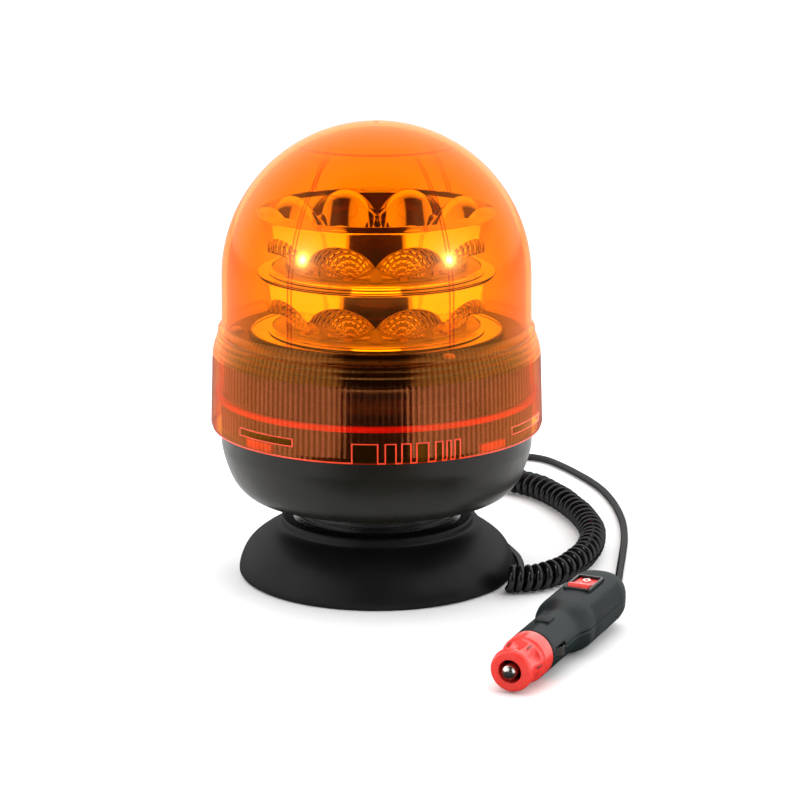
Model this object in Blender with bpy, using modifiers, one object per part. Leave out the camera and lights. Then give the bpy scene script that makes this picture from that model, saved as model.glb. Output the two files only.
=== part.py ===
"""Amber LED warning beacon on a rubber-booted magnet foot, with its curly cord and 12 V plug.

Frame: origin at the centre of the foot's underside, +Z up, metres.
The beacon is turned about Z. The cord leaves the housing at the back (+Y), runs round the
foot, becomes a curly cord and ends in a cigarette-lighter plug with a rocker switch.
"""

import math

import bmesh
import bpy
from mathutils import Matrix, Vector

MM = 0.001                    # every length below is in millimetres
GAP = 0.3                     # clearance between two pieces that touch

# ---- driving dimensions of the beacon
HEIGHT = 220.0                # floor to the top of the lens
DOME_R = 74.0                 # the lens's half ball, whose centre is DOME_R below the top
LENS_WALL = 2.8
SKIRT_TOP_R, SKIRT_LOW_R = 78.8, 80.0
SKIRT_TOP_Z, SKIRT_LOW_Z = 110.0, 76.5
LENS_FOOT_Z = 74.2
LUG_ZONE_R = 77.6             # inside of the skirt, where the bayonet lugs turn
HOUSING_R = 75.0              # the housing's widest, below the skirt
HOUSING_NECK_R = 73.6         # the housing inside the lens
HOUSING_TOP_Z, HOUSING_LOW_Z = 112.0, 39.7
SHOULDER_Z = 88.0             # the housing's step, on which the lens seal lies
HOUSING_WALL = 2.8
DECK_Z = 119.0                # the plate that closes the housing
BOOT_R = 67.4                 # the rubber boot's rim
COLLAR_R, COLLAR_Z = 46.6, 28.8
FLANGE_R = 38.8
BAYONET_LUGS, LUG_DEG = 4, 12.0
LENS_TURN_DEG = 18.0

# ---- light unit
NICHES = 10                   # reflector niches and LEDs in each tier
TIER_LOW_R, TIER_TOP_R = 52.0, 57.0
LOWER_TIER_Z, UPPER_TIER_Z = 120.7, 149.4
TIER_H, UPPER_LIP_H = 26.9, 30.1
LED_RING_R = 41.0
ROD_R, CORE_HOLE_R = 2.5, 6.0

# ---- cord
CORD_D = 3.7
CURL_D = 13.5
REST = 0.1                    # what the cord and plug stay above the floor
GLAND_Z = 52.0
GLAND_FACE_Y = 75.0
SLEEVE_END_Y = 110.0
CORD_Z = CORD_D / 2 + REST
CURL_Z = CURL_D / 2 + REST

# ---- plug, in its own frame: +X from the cord's end to the nose, +Z up
PLUG_REAR = (104.3, -79.8)
PLUG_YAW_DEG = -115.0
GRIP_W, GRIP_H = 13.5, 12.0   # half width and half height of the grip
BARREL_R = 10.5               # fits a 12 V car socket
BARREL_END_X = 85.6
NOSE_X, NOSE_END_X = 86.0, 110.0
GRIP_END_X, COLLAR_X = 44.0, 93.5     # where the grip and the nose's collar touch the floor
PLUG_PITCH_DEG = math.degrees(math.atan((GRIP_H - BARREL_R) / (COLLAR_X - GRIP_END_X)))
ROCKER_X, ROCKER_Z, ROCKER_R, ROCKER_W = 23.5, 10.2, 7.9, 9.8
ROCKER_TURN_DEG = 20.0
GROMMET_L = 8.0

# The leads' routes, and the curly cord's middle line
EXIT_ROUTE = [(0, SLEEVE_END_Y + GAP, GLAND_Z), (0, 119, 50.8), (-1, 129, 46), (-3, 137, 36),
              (-4, 142, 23), (-2, 146, 10), (4, 148, 3.2), (12, 148, CORD_Z), (23, 144, CORD_Z),
              (33, 134, CORD_Z), (41, 119, CORD_Z), (46, 101, CORD_Z), (50, 82, CORD_Z),
              (54.5, 63, CORD_Z), (60, 45, CORD_Z), (65.3, 27.5, CORD_Z), (69.2, 12, CORD_Z),
              (70.2, -3, CORD_Z), (68.9, -17, CORD_Z), (66.6, -30.6, CORD_Z)]
CURL_ROUTE = [(62.9, -38.4), (70.6, -37.6), (78.9, -34), (87, -26.5), (94.5, -14.8), (101.4, 1),
              (106.3, 21), (108, 43), (105.6, 65.5), (100.6, 86.5), (94, 105), (85.6, 121.5),
              (75.5, 133.5), (64, 141), (54, 144)]
PLUG_ROUTE = [(56.4, 150.6, CORD_Z), (56.4, 163, CORD_Z), (59, 178, CORD_Z), (65, 192, CORD_Z),
              (74, 201.5, CORD_Z), (84, 203.5, CORD_Z), (93, 196.5, CORD_Z), (101, 183.5, CORD_Z),
              (108.4, 167.5, CORD_Z), (115.3, 150, CORD_Z), (120.8, 130, CORD_Z),
              (124.6, 104, CORD_Z), (126, 75, CORD_Z), (124.8, 47, CORD_Z), (122, 21, CORD_Z),
              (118.6, -6, CORD_Z), (115.8, -28, 2.2), (113.3, -44, 4.6)]

STEEL = ((0.62, 0.62, 0.64), 0.35, 1.0)
BLACK = ((0.02, 0.02, 0.018), 0.45, 0.0)
RUBBER = ((0.025, 0.025, 0.026), 0.75, 0.0)
BOARD = ((0.85, 0.86, 0.84), 0.5, 0.0)
MIRROR = ((0.9, 0.9, 0.9), 0.12, 1.0)
AMBER = ((0.95, 0.3, 0.01), 0.08, 0.0)
RED = ((0.75, 0.03, 0.02), 0.3, 0.0)
COPPER = ((0.8, 0.4, 0.2), 0.35, 1.0)
GREEN = ((0.02, 0.18, 0.07), 0.5, 0.0)
ALU = ((0.75, 0.76, 0.78), 0.4, 1.0)


def clear_scene():
    for obj in list(bpy.data.objects):
        bpy.data.objects.remove(obj, do_unlink=True)
    for old in list(bpy.data.collections):
        bpy.data.collections.remove(old)


def new_collection(name):
    made = bpy.data.collections.new(name)
    bpy.context.scene.collection.children.link(made)
    return made


def finish_of(name, look):
    colour, roughness, metallic = look
    made = bpy.data.materials.new(name)
    made.use_nodes = True
    shader = made.node_tree.nodes["Principled BSDF"]
    shader.inputs["Base Color"].default_value = (*colour, 1.0)
    shader.inputs["Roughness"].default_value = roughness
    shader.inputs["Metallic"].default_value = metallic
    if look is AMBER:
        shader.inputs["Transmission Weight"].default_value = 0.9
    return made


def place(name, data, look, parent=None, at=(0, 0, 0), turn=(0, 0, 0)):
    """Adds one named piece; at is in millimetres and turn in degrees."""
    obj = bpy.data.objects.new(name, data)
    PARTS.objects.link(obj)
    obj.location = [v * MM for v in at]
    obj.rotation_euler = [math.radians(v) for v in turn]
    obj.parent = parent
    data.materials.append(finish_of(name, look))
    return obj


def shade(mesh):
    mesh.shade_smooth()
    mesh.set_sharp_from_angle(angle=math.radians(35))


def turned(name, outline, look, closed=True, steps=24, **where):
    """A turned piece. The outline runs down its outer side; closed joins its two ends."""
    mesh = bpy.data.meshes.new(name)
    points = [(r * MM, 0, z * MM) for r, z in outline]
    edges = [(i, i + 1) for i in range(len(points) - 1)]
    if closed:
        edges.append((len(points) - 1, 0))
    mesh.from_pydata(points, edges, [])
    obj = place(name, mesh, look, **where)
    screw = obj.modifiers.new("turn", "SCREW")
    screw.axis = "Z"
    screw.angle = math.tau
    screw.steps = screw.render_steps = steps
    screw.use_merge_vertices = True
    screw.merge_threshold = 0.00001
    screw.use_smooth_shade = True
    return obj


def disc(name, r_out, z_low, z_high, look, r_in=0.0, **where):
    if r_in:
        outline = [(r_out, z_high), (r_out, z_low), (r_in, z_low), (r_in, z_high)]
        return turned(name, outline, look, **where)
    outline = [(0, z_high), (r_out, z_high), (r_out, z_low), (0, z_low)]
    return turned(name, outline, look, closed=False, **where)


def group_of(name, look, shapes, **where):
    """Several separate solids in one piece; each shape is ("box" or "rod", centre, size, turn)."""
    bm = bmesh.new()
    for kind, centre, size, turn in shapes:
        spot = Matrix.Translation([v * MM for v in centre]) @ turn
        if kind == "box":
            spot = spot @ Matrix.Diagonal([v * MM for v in size]).to_4x4()
            bmesh.ops.create_cube(bm, size=1, matrix=spot)
        else:
            r_low, r_high, length, sides = size
            bmesh.ops.create_cone(bm, cap_ends=True, segments=sides, radius1=r_low * MM,
                                  radius2=r_high * MM, depth=length * MM, matrix=spot)
    mesh = bpy.data.meshes.new(name)
    bm.to_mesh(mesh)
    bm.free()
    shade(mesh)
    return place(name, mesh, look, **where)


NO_TURN = Matrix.Identity(4)


def spin(degrees, axis="Z"):
    return Matrix.Rotation(math.radians(degrees), 4, axis)


def on_ring(radius, degrees, z):
    a = math.radians(degrees)
    return (radius * math.cos(a), radius * math.sin(a), z)


def cut(obj, name, shapes, operation="DIFFERENCE", **where):
    """Cuts the shapes out of a piece, or joins them to it."""
    tool = group_of(name, BLACK, shapes, **where)
    PARTS.objects.unlink(tool)
    CUTTERS.objects.link(tool)
    tool.hide_render = True
    tool.display_type = "WIRE"
    boolean = obj.modifiers.new(name, "BOOLEAN")
    boolean.operation = operation
    boolean.solver = "EXACT"
    boolean.object = tool
    return tool


def smooth_route(points, step):
    """Points about step apart on the smooth curve through the given ones."""
    pts = [Vector(p) for p in points]
    pts = [2 * pts[0] - pts[1], *pts, 2 * pts[-1] - pts[-2]]
    dense = []
    for a, b, c, d in zip(pts, pts[1:], pts[2:], pts[3:]):
        for k in range(24):
            t = k / 24
            dense.append(0.5 * (2 * b + (c - a) * t + (2 * a - 5 * b + 4 * c - d) * t * t
                                + (3 * b - a - 3 * c + d) * t ** 3))
    dense.append(pts[-2])
    along = [0.0]
    for a, b in zip(dense, dense[1:]):
        along.append(along[-1] + (b - a).length)
    count = max(2, round(along[-1] / step))
    out, i = [], 0
    for k in range(count + 1):
        want = along[-1] * k / count
        while i < len(along) - 2 and along[i + 1] < want:
            i += 1
        share = (want - along[i]) / (along[i + 1] - along[i])
        out.append(dense[i].lerp(dense[i + 1], share))
    return out


def tube(name, points, diameter, look, step=None, sides=2, **where):
    """A round tube of one diameter along a smooth route."""
    curve = bpy.data.curves.new(name, "CURVE")
    curve.dimensions = "3D"
    curve.bevel_depth = diameter / 2 * MM
    curve.bevel_resolution = sides
    curve.use_fill_caps = True
    route = smooth_route(points, step) if step else [Vector(p) for p in points]
    spline = curve.splines.new("POLY")
    spline.points.add(len(route) - 1)
    for slot, point in zip(spline.points, route):
        slot.co = (*[v * MM for v in point], 1)
    return place(name, curve, look, **where)


def outline_plate(name, points, thickness, look, **where):
    """A flat outline in the XY plane with a thickness, centred on it."""
    curve = bpy.data.curves.new(name, "CURVE")
    curve.dimensions = "2D"
    curve.fill_mode = "BOTH"
    curve.extrude = thickness / 2 * MM
    spline = curve.splines.new("POLY")
    spline.points.add(len(points) - 1)
    for slot, (x, y) in zip(spline.points, points):
        slot.co = (x * MM, y * MM, 0, 1)
    spline.use_cyclic_u = True
    return place(name, curve, look, **where)


# ---------------------------------------------------------------- magnet foot

def magnet_foot():
    disc("foot_pad", 59.9, 0.0, 2.3, RUBBER)
    turned("magnet_boot", [
        (44.8, COLLAR_Z), (COLLAR_R, COLLAR_Z - 2), (COLLAR_R, COLLAR_Z - 4), (48.3, 23.6),
        (52.2, 21.9), (58.1, 18.2), (62.8, 14.0), (65.5, 9.8), (67.0, 5.8), (BOOT_R, 2.6),
        (66.4, 0), (60.3, 0), (60.3, 2.6), (56.6, 2.6), (56.6, 14.0), (41.4, 14.0),
        (41.4, COLLAR_Z)], RUBBER)
    turned("magnet_pot", [(56.2, 13.6), (56.2, 2.7), (53.2, 2.7), (53.2, 10.6), (4.4, 10.6),
                          (4.4, 13.6)], STEEL)
    disc("ring_magnet", 52.8, 3.0, 10.3, BLACK, r_in=17.2)
    disc("pole_core", 16.8, 3.0, 10.3, STEEL, r_in=8.4)
    turned("foot_bolt", [(0, 50.5), (4.0, 50.5), (4.0, 10.2), (7.4, 10.2), (7.4, 4.9), (0, 4.9)],
           STEEL, closed=False, steps=12)
    turned("foot_nut", [(7.5, 49.6), (7.5, 43.1), (5.0, 43.1), (5.0, 49.6)], STEEL, steps=6)
    turned("mount_flange", [
        (FLANGE_R - 0.6, 36), (FLANGE_R, 35.3), (FLANGE_R, 29.4), (41.0, 28.2), (41.0, 14.3),
        (4.4, 14.3), (4.4, 36)], BLACK)
    disc("housing_gasket", 37.6, 36.3, 39.4, RUBBER, r_in=4.6)


# ---------------------------------------------------------------- housing

def housing_outline():
    bowl = [(74.4, 62.6), (73.5, 58.8), (72.2, 54.9), (71, 51.6), (69.3, 48.2), (67.3, 45.3),
            (65, 43), (62.4, 41.3), (58, 40.1), (50, HOUSING_LOW_Z)]
    inside = [(50, HOUSING_LOW_Z + 3), (58, 43.2), (63.5, 45.9), (67.3, 50.2), (70, 56),
              (71.4, 62), (HOUSING_R - HOUSING_WALL, 70), (70.8, 86), (70.8, 108.4),
              (63.4, 108.4), (63.4, HOUSING_TOP_Z)]
    return ([(HOUSING_NECK_R, HOUSING_TOP_Z), (HOUSING_NECK_R, SHOULDER_Z),
             (HOUSING_R, SHOULDER_Z), (HOUSING_R, 66)] + bowl
            + [(4.4, HOUSING_LOW_Z), (4.4, HOUSING_LOW_Z + 3)] + inside)


WIRE_PASS = ("rod", (0, 21, 118), (6.5, 6.5, 9, 16), NO_TURN)   # lets the wires up to the boards
DECK_SCREW_AT = [on_ring(67.2, a, 0) for a in (60, 180, 300)]


def lug_boxes(r_low, r_high, z_low, z_high):
    """Bayonet lugs, each LUG_DEG wide, about the azimuths where the lens is locked."""
    width = math.radians(LUG_DEG) * r_high
    size = (r_high - r_low, width, z_high - z_low)
    return [("box", on_ring((r_low + r_high) / 2, a, (z_low + z_high) / 2), size, spin(a))
            for a in [45 + k * 360 / BAYONET_LUGS for k in range(BAYONET_LUGS)]]


def housing():
    body = turned("base_housing", housing_outline(), BLACK)
    across = spin(90, "X")
    cut(body, "gland_boss", [("rod", (0, 66.5, GLAND_Z), (9.6, 9.6, 17, 20), across)], "UNION")
    cut(body, "bayonet_lugs", lug_boxes(74.2, 76.3, 79.2, 83.6), "UNION")
    cut(body, "housing_holes",
        [("rod", (0, 66, GLAND_Z), (5.1, 5.1, 40, 16), across)]
        + [("rod", (x, y, 110), (1.8, 1.8, 8, 10), NO_TURN) for x, y, _ in DECK_SCREW_AT])

    deck = turned("deck_plate", [
        (71.9, DECK_Z), (72.3, 118.4), (72.3, HOUSING_TOP_Z + GAP), (62, HOUSING_TOP_Z + GAP),
        (60, 116.3), (CORE_HOLE_R, 116.3), (CORE_HOLE_R, DECK_Z)], BLACK)
    cut(deck, "deck_holes", [("rod", (x, y, 115), (1.8, 1.8, 12, 10), NO_TURN)
                             for x, y, _ in DECK_SCREW_AT] + [WIRE_PASS])
    for number, (x, y, _) in enumerate(DECK_SCREW_AT, 1):
        screw(f"deck_screw_{number}", x, y, DECK_Z + GAP, 13)

    disc("lens_seal", 76.9, SHOULDER_Z + GAP, 91.0, RED, r_in=74.0)


def on_gland(name, outline, look, closed=True, steps=20):
    """A turned piece on the gland's axis; its outline's z counts out from the housing's axis."""
    return turned(name, outline, look, closed, steps, at=(0, 0, GLAND_Z), turn=(-90, 0, 0))


def gland():
    on_gland("gland_body", [(8.3, 78.6), (8.3, GLAND_FACE_Y + GAP), (4.8, GLAND_FACE_Y + GAP),
                            (4.8, 53.8), (2.2, 53.8), (2.2, 78.6)], BLACK)
    on_gland("gland_lock_nut", [(8.2, 57.7), (8.2, 54.4), (5.9, 54.4), (5.9, 57.7)], BLACK,
             steps=6)
    on_gland("gland_nut", [(5.2, 87.0), (7.4, 84.6), (7.8, 82.0), (7.8, 78.9), (2.2, 78.9),
                           (2.2, 87.0)], BLACK)
    on_gland("cord_sleeve", [(0, SLEEVE_END_Y), (2.5, SLEEVE_END_Y), (4.4, 87.3), (0, 87.3)],
             RUBBER, closed=False)


def screw(name, x, y, head_z, length):
    """A pan-head screw that points down, its head's underside at head_z."""
    turned(name, [(0, head_z + 1.7), (2.2, head_z + 1.7), (3.0, head_z + 0.8), (3.0, head_z),
                  (1.4, head_z), (1.4, head_z - length), (0, head_z - length)],
           STEEL, closed=False, steps=8, at=(x, y, 0))


def driver():
    feet = [on_ring(38, a, 0) for a in (30, 150, 270)]
    board = disc("driver_board", 50, 58.0, 59.6, GREEN, r_in=6.5)
    cut(board, "board_holes", [("rod", (x, y, 58.8), (1.8, 1.8, 6, 10), NO_TURN)
                               for x, y, _ in feet])
    carrier = disc("board_carrier", 43, 43.1, 45.5, BLACK, r_in=33)
    cut(carrier, "carrier_posts", [("rod", (x, y, 51.2), (3.6, 3.4, 13, 12), NO_TURN)
                                   for x, y, _ in feet], "UNION")
    cut(carrier, "carrier_holes", [("rod", (x, y, 56), (1.7, 1.7, 8, 10), NO_TURN)
                                   for x, y, _ in feet])
    for number, (x, y, _) in enumerate(feet, 1):
        screw(f"board_screw_{number}", x, y, 59.9, 6)
    for number, y in enumerate((12, -3), 1):
        disc(f"capacitor_{number}", 5.0, 59.9, 74.3, BLACK, steps=16, at=(-20, y, 0))
    turned("choke", [(9.5, 69), (9.5, 60.5), (8.8, 59.9), (3.4, 59.9), (3.4, 69.4), (8.8, 69.4)],
           COPPER, steps=16, at=(20, -14, 0))
    group_of("driver_chip", BLACK, [("box", (28, 8, 61.0), (9, 9, 2), NO_TURN)])
    group_of("terminal_block", GREEN, [("box", (0, 34.5, 53.6), (16, 9, 8), NO_TURN)])
    tube("inner_lead", [(0, 53.5, GLAND_Z), (0, 46, 51.6), (0, 39.3, GLAND_Z)], CORD_D, RUBBER)
    for side, name, look in ((1, "harness_red", RED), (-1, "harness_black", BLACK)):
        tube(name, [(4 * side, 31, 59.9), (4 * side, 31, 66), (7 * side, 26, 80),
                    (6 * side, 19, 95), (3.5 * side, 20, 109), (3 * side, 21, 120.4)],
             1.2, look, step=7)


# ---------------------------------------------------------------- light unit

def half_ball(bm, centre, radii, turn):
    """The upper half of an ellipsoid, closed underneath."""
    fresh = bmesh.new()
    bmesh.ops.create_uvsphere(fresh, u_segments=12, v_segments=6, radius=1)
    bmesh.ops.bisect_plane(fresh, geom=fresh.verts[:] + fresh.edges[:] + fresh.faces[:],
                           plane_co=(0, 0, 0), plane_no=(0, 0, 1), clear_inner=True)
    bmesh.ops.holes_fill(fresh, edges=[e for e in fresh.edges if e.is_boundary])
    bmesh.ops.transform(fresh, verts=fresh.verts[:],
                        matrix=(Matrix.Translation([v * MM for v in centre]) @ turn
                                @ Matrix.Diagonal([v * MM for v in radii]).to_4x4()))
    bmesh.ops.recalc_face_normals(fresh, faces=fresh.faces[:])
    step = bpy.data.meshes.new("half_ball")
    fresh.to_mesh(step)
    fresh.free()
    bm.from_mesh(step)
    bpy.data.meshes.remove(step)


def reflector(name, z_low, height):
    """A cone ring with a quarter-ball niche over every LED, open up its middle."""
    slope = (TIER_TOP_R - TIER_LOW_R) / TIER_H
    outline = [(TIER_LOW_R + slope * height, z_low + height), (TIER_LOW_R, z_low + 2),
               (TIER_LOW_R, z_low), (50.0, z_low), (50.0, z_low + 2.4), (28, z_low + 2.4),
               (28, z_low + TIER_H - 6)]
    if height > TIER_H:
        outline += [(54.0, z_low + height)]
    else:
        outline += [(28, z_low + height)]
    ring = turned(name, outline, MIRROR, steps=30)
    bm = bmesh.new()
    for k in range(NICHES):
        a = k * 360 / NICHES
        half_ball(bm, on_ring(52.5, a, z_low + 2.2), (19, 14.2, 18.6), spin(a))
    mesh = bpy.data.meshes.new(name + "_niches")
    bm.to_mesh(mesh)
    bm.free()
    tool = bpy.data.objects.new(name + "_niches", mesh)
    CUTTERS.objects.link(tool)
    tool.hide_render = True
    tool.display_type = "WIRE"
    boolean = ring.modifiers.new("niches", "BOOLEAN")
    boolean.operation = "DIFFERENCE"
    boolean.solver = "EXACT"
    boolean.use_self = True
    boolean.object = tool


def leds(name, z):
    """A ring of LEDs on their thin strip, a gap above the board."""
    strip = disc(name, LED_RING_R + 2.4, z, z + 0.4, AMBER, r_in=LED_RING_R - 2.4, steps=30)
    cut(strip, name + "_chips",
        [("box", on_ring(LED_RING_R, k * 36, z + 0.85), (3.5, 3.5, 1.3), spin(k * 36))
         for k in range(NICHES)], "UNION")


def light_unit():
    dish = turned("lower_dish", [(61.3, 121.1), (61.3, DECK_Z + GAP), (CORE_HOLE_R, DECK_Z + GAP),
                                 (CORE_HOLE_R, 120.3), (59.8, 120.3), (59.8, 121.1)], BLACK)
    cut(dish, "dish_hole", [WIRE_PASS])
    disc("lower_led_board", 49.6, LOWER_TIER_Z, LOWER_TIER_Z + 1.6, BOARD, r_in=CORE_HOLE_R)
    leds("lower_leds", LOWER_TIER_Z + 1.6 + GAP)
    reflector("lower_reflector", LOWER_TIER_Z, TIER_H)
    disc("heat_post", 14, LOWER_TIER_Z + 1.9, 147.6, ALU, r_in=CORE_HOLE_R)
    disc("upper_plate", 57.2, 147.9, 149.1, ALU, r_in=CORE_HOLE_R)
    disc("upper_led_board", 49.6, UPPER_TIER_Z, UPPER_TIER_Z + 1.6, BOARD, r_in=CORE_HOLE_R)
    leds("upper_leds", UPPER_TIER_Z + 1.6 + GAP)
    reflector("upper_reflector", UPPER_TIER_Z, UPPER_LIP_H)
    turned("tie_rod", [(0, 158), (ROD_R, 158), (ROD_R, 116), (8.5, 116), (8.5, 113.4),
                       (0, 113.4)], STEEL, closed=False, steps=12)
    turned("rod_nut", [(4.6, 156.6), (4.6, 152.8), (9.0, 152.8), (9.0, 151.3), (ROD_R + 0.3, 151.3),
                       (ROD_R + 0.3, 156.6)], STEEL, steps=12)


# ---------------------------------------------------------------- lens

def lens():
    """The dome and fluted skirt in one moulding, with bayonet tabs inside its lower edge."""
    centre_z = HEIGHT - DOME_R
    outside = [(DOME_R * math.sin(a), centre_z + DOME_R * math.cos(a))
               for a in [math.radians(d) for d in range(0, 91, 10)]]
    outside[0] = (0, HEIGHT)
    outside += [(74.4, 123.5), (75.9, 121), (75.9, 118.6), (78.2, 111.8),
                (SKIRT_TOP_R, SKIRT_TOP_Z), (SKIRT_LOW_R, SKIRT_LOW_Z), (79.2, LENS_FOOT_Z)]
    inner_r = DOME_R - LENS_WALL
    inside = [(LUG_ZONE_R, LENS_FOOT_Z), (LUG_ZONE_R, 91.3), (75.8, 91.3), (75.4, 108.5),
              (73.7, 114), (72.9, 119.5), (71.6, 124)]
    inside += [(inner_r * math.sin(a), centre_z + inner_r * math.cos(a))
               for a in [math.radians(d) for d in range(90, -1, -15)]]
    inside[-1] = (0, HEIGHT - LENS_WALL)
    dome = turned("lens_dome", outside + inside, AMBER, closed=False, steps=36)
    cut(dome, "lens_tabs", lug_boxes(75.5, 78.2, 74.6, 78.6), "UNION")


# ---------------------------------------------------------------- plug

def lathe(name, outline, look, frame, closed=True, steps=16):
    """A turned piece on the plug's axis; its outline's z is the place along the plug."""
    return turned(name, outline, look, closed, steps, parent=frame, turn=(0, 90, 0))


# place along the plug, half width, half height, inner half width and height, squareness
SHELL_STATIONS = [
    (0, 10.6, 9.6, 2.8, 2.8, 2.4), (1.2, 12.2, 11.0, 2.8, 2.8, 2.5),
    (2.6, 12.9, 11.6, 2.8, 2.8, 2.6), (2.9, 13.0, 11.6, 10.4, 9.0, 2.6),
    (8, GRIP_W, GRIP_H, 11.2, 9.8, 2.6), (GRIP_END_X, GRIP_W, GRIP_H, 11.2, 9.8, 2.6),
    (50, 12.9, 11.7, 10.4, 9.4, 2.4), (55.5, 11.1, 10.9, 8.7, 8.6, 2.1),
    (59, BARREL_R, BARREL_R, 8.4, 8.4, 2.0), (BARREL_END_X, BARREL_R, BARREL_R, 8.4, 8.4, 2.0)]


def half_ring(width, height, squareness, side, count=12):
    """Half of an oval, from +Y over the top (side 1) or under the bottom (-1) to -Y."""
    points = []
    for k in range(count + 1):
        a = math.pi * k / count
        c, s = math.cos(a), math.sin(a)
        y = math.copysign(width * abs(c) ** (2 / squareness), c)
        z = (height - GAP / 2) * abs(s) ** (2 / squareness) + GAP / 2
        points.append((y, side * z))
    return points


def half_shell(name, side, frame):
    """Half of the plug's casing: a loft of C-shaped sections."""
    bm = bmesh.new()
    rings = []
    for x, w, h, w_in, h_in, n in SHELL_STATIONS:
        section = half_ring(w, h, n, side) + half_ring(w_in, h_in, min(n, 2.2), side)[::-1]
        rings.append([bm.verts.new((x * MM, y * MM, z * MM)) for y, z in section])
    count = len(rings[0])
    for a, b in zip(rings, rings[1:]):
        for i in range(count):
            j = (i + 1) % count
            bm.faces.new((a[i], a[j], b[j], b[i]))
    bm.faces.new(rings[0])
    bm.faces.new(rings[-1][::-1])
    bmesh.ops.recalc_face_normals(bm, faces=bm.faces[:])
    mesh = bpy.data.meshes.new(name)
    bm.to_mesh(mesh)
    bm.free()
    shade(mesh)
    return place(name, mesh, BLACK, parent=frame)


def rocker_outline():
    """Side view of the rocker about its pivot: round ends, and a shallow V on top."""
    ends = [math.radians(a) for a in range(200, 169, -10)]
    ends += [None]
    ends += [math.radians(a) for a in range(30, -21, -10)]
    return [(0, 1.9) if a is None else (ROCKER_R * math.cos(a), ROCKER_R * math.sin(a))
            for a in ends]


def contact_outline():
    """A bowed spring strip: flat ends, and a bow that stands 4 out."""
    bow = [(77 + 5 * t, 8.1 + 4.0 * math.cos(t * math.pi / 2) ** 2)
           for t in [-1 + k / 4 for k in range(9)]]
    outer = [(69.2, 8.1)] + bow + [(84.8, 8.1)]
    return outer + [(x, y - 0.5) for x, y in outer[::-1]]


def plug_frame():
    frame = bpy.data.objects.new("plug_frame", None)
    PARTS.objects.link(frame)
    pitch = math.radians(PLUG_PITCH_DEG)
    height = GRIP_END_X * math.sin(pitch) + GRIP_H * math.cos(pitch) + REST
    frame.location = (PLUG_REAR[0] * MM, PLUG_REAR[1] * MM, height * MM)
    frame.rotation_euler = (0, pitch, math.radians(PLUG_YAW_DEG))
    return frame


def plug(frame):
    lathe("plug_grommet", [(0, 5.0), (4.2, 5.0), (4.2, 3.3), (2.5, 3.3), (2.5, -0.3), (3.8, -0.3),
                           (2.4, -GROMMET_L), (0, -GROMMET_L)], RUBBER, frame, closed=False,
          steps=16)
    slots = [("box", (77, 0, 0), (11.2, 40, 5.0), NO_TURN)]
    top = half_shell("plug_shell_top", 1, frame)
    cut(top, "switch_window", [("box", (ROCKER_X, 0, 10), (19.6, 13.0, 12), NO_TURN)],
        parent=frame)
    cut(top, "slots_top", slots, parent=frame)
    cut(top, "barrel_tab", [("box", (70.5, 0, 10.3), (7.5, 7.0, 2.2), NO_TURN)], "UNION",
        parent=frame)
    bottom = half_shell("plug_shell_bottom", -1, frame)
    cut(bottom, "slots_bottom", slots, parent=frame)

    bezel = group_of("switch_bezel", BLACK, [("box", (ROCKER_X, 0, 7.9), (19, 12.4, 9.8),
                                              NO_TURN)], parent=frame)
    cut(bezel, "bezel_hole", [("box", (ROCKER_X, 0, 10.2), (16.4, 10.4, 12), NO_TURN)],
        parent=frame)
    outline_plate("rocker", rocker_outline(), ROCKER_W, RED, parent=frame,
                  at=(ROCKER_X, 0, ROCKER_Z), turn=(90, 0, 0))

    lathe("plug_core", [(6.2, 99.2), (6.2, 62), (5.0, 62), (5.0, 97.7), (3.8, 97.7), (3.8, 99.2)],
          BLACK, frame)
    lathe("plug_fuse", [(0, 86.8), (3.1, 86.8), (3.1, 56.8), (0, 56.8)], STEEL, frame,
          closed=False, steps=16)
    lathe("centre_pin", [(0, 112.6), (1.9, 112.3), (3.1, 111.0), (3.4, 109.5), (3.4, 97.3),
                         (4.7, 97.3), (4.7, 95.8), (2.6, 95.8), (2.6, 91.0), (0, 91.0)],
          STEEL, frame, closed=False, steps=16)
    spring_turns, per_turn = 4, 8
    coil = []
    for k in range(spring_turns * per_turn + 1):
        a = math.tau * k / per_turn
        share = k / (spring_turns * per_turn)
        coil.append((87.7 + 4.4 * share, 3.85 * math.cos(a), 3.85 * math.sin(a)))
    tube("pin_spring", coil, 0.8, STEEL, sides=0, parent=frame)

    nose = lathe("adapter_nose", [
        (10.2, 94.5), (BARREL_R, COLLAR_X), (BARREL_R, NOSE_X), (6.5, NOSE_X), (6.5, 104), (4.4, 104),
        (4.4, NOSE_END_X), (8.0, NOSE_END_X), (9.4, 108.6), (9.6, 96.5)], RED, frame)
    cut(nose, "nose_flutes", [("rod", (102, 13.2 * math.cos(a), 13.2 * math.sin(a)),
                               (4.6, 4.6, 20, 8), spin(90, "Y"))
                              for a in [math.tau * k / 6 for k in range(6)]], parent=frame)
    for side, name in ((1, "side_contact_left"), (-1, "side_contact_right")):
        outline_plate(name, [(x, side * y) for x, y in contact_outline()], 3.8, STEEL,
                      parent=frame)


def cords(frame):
    tube("exit_lead", EXIT_ROUTE, CORD_D, RUBBER, step=10)
    tube("curly_cord", [(x, y, CURL_Z) for x, y in CURL_ROUTE], CURL_D, RUBBER, step=11)
    bpy.context.view_layer.update()
    end = frame.matrix_world @ Vector((-(GROMMET_L + GAP) * MM, 0, 0)) / MM
    before = frame.matrix_world @ Vector((-(GROMMET_L + 8) * MM, 0, 0)) / MM
    tube("plug_lead", PLUG_ROUTE + [tuple(before), tuple(end)], CORD_D, RUBBER, step=10)


clear_scene()
PARTS = new_collection("led_beacon")
CUTTERS = new_collection("cutters")
magnet_foot()
housing()
gland()
driver()
light_unit()
lens()
PLUG = plug_frame()
plug(PLUG)
cords(PLUG)
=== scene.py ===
import math

import bpy
from mathutils import Matrix, Vector


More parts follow.
